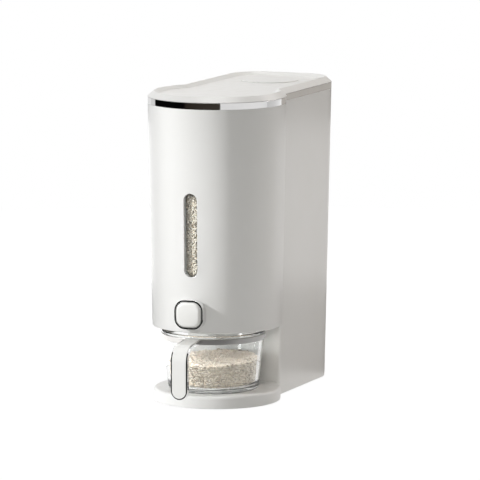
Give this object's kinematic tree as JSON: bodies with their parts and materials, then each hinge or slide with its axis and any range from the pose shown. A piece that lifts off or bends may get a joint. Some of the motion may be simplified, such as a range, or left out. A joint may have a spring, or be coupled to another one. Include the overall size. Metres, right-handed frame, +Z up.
{
  "type": "rice dispenser",
  "caption": "Counter-top rice dispenser: round front drum on a narrower rear box, recessed lid, level window, push button over an outlet flap, and a glass cup with a bent handle.",
  "frame": {"origin": "on the table, under the middle of the whole dispenser with its handle and hinge", "axes": "+X to the right seen from the front, +Y towards the back, +Z up"},
  "size_m": [0.1502, 0.3194, 0.3383],
  "materials": {
    "shell_white": "satin moulded white",
    "tray_white": "satin moulded white",
    "lid_white": "satin moulded white",
    "button_white": "glossy white",
    "chrome": "polished plating",
    "bin_clear": "frosted clear moulding",
    "window_clear": "clear moulding",
    "cup_clear": "clear, polished",
    "inner_white": "unpolished moulding",
    "steel": "plain steel",
    "seal_grey": "silicone",
    "foot_grey": "matt rubber"
  },
  "bodies": {
    "housing": {"rear_housing": "shell_white", "front_shell": "shell_white", "base_tray": "tray_white", "bottom_plate": "inner_white", "bottom_screws": "steel", "rubber_feet": "foot_grey", "chrome_ring": "chrome", "grain_bin": "bin_clear", "window_lens": "window_clear", "window_seal": "seal_grey", "hinge_bracket": "shell_white", "hinge_pin": "steel", "hinge_rivets": "steel", "button_bezel": "chrome", "button_guide": "inner_white", "guide_screws": "steel", "button_spring": "steel", "outlet_chute": "inner_white", "chute_screws": "steel"},
    "lid": {"lid": "lid_white", "lid_seal": "seal_grey", "moisture_basket": "inner_white"},
    "moisture_cap": {"moisture_cap": "lid_white"},
    "button": {"button_cap": "button_white", "push_rod": "inner_white"},
    "flap": {"outlet_flap": "inner_white", "flap_shaft": "steel", "crank_arms": "inner_white"},
    "cup": {"cup_glass": "cup_clear", "cup_band": "chrome", "handle_frame": "chrome", "handle_insert": "button_white"}
  },
  "joints": [
    {"name": "lid_hinge", "type": "hinge", "parent": "housing", "child": "lid", "pos_m": [0, 0.15623, 0.3324], "axis": [-1, 0, 0], "range_deg": [0, 105]},
    {"name": "cap_twist", "type": "hinge", "parent": "lid", "child": "moisture_cap", "pos_m": [0, 0.08993, 0.3348], "axis": [0, 0, 1], "range_deg": [0, 60]},
    {"name": "button_press", "type": "slide", "parent": "housing", "child": "button", "axis": [0, 1, 0], "range_m": [0, 0.0065], "stiffness_N_per_m": 500, "springref_m": -0.004, "deforming": ["button_spring"]},
    {"name": "flap_swing", "type": "hinge", "parent": "housing", "child": "flap", "pos_m": [0, -0.04457, 0.117], "axis": [1, 0, 0], "range_deg": [0, 30.01]},
    {"name": "cup_slide", "type": "slide", "parent": "housing", "child": "cup", "axis": [0, -1, 0], "range_m": [0, 0.17]}
  ],
  "couplings": [
    {"joint": "flap_swing", "follows": "button_press", "rad_per_m": 80.554}
  ]
}
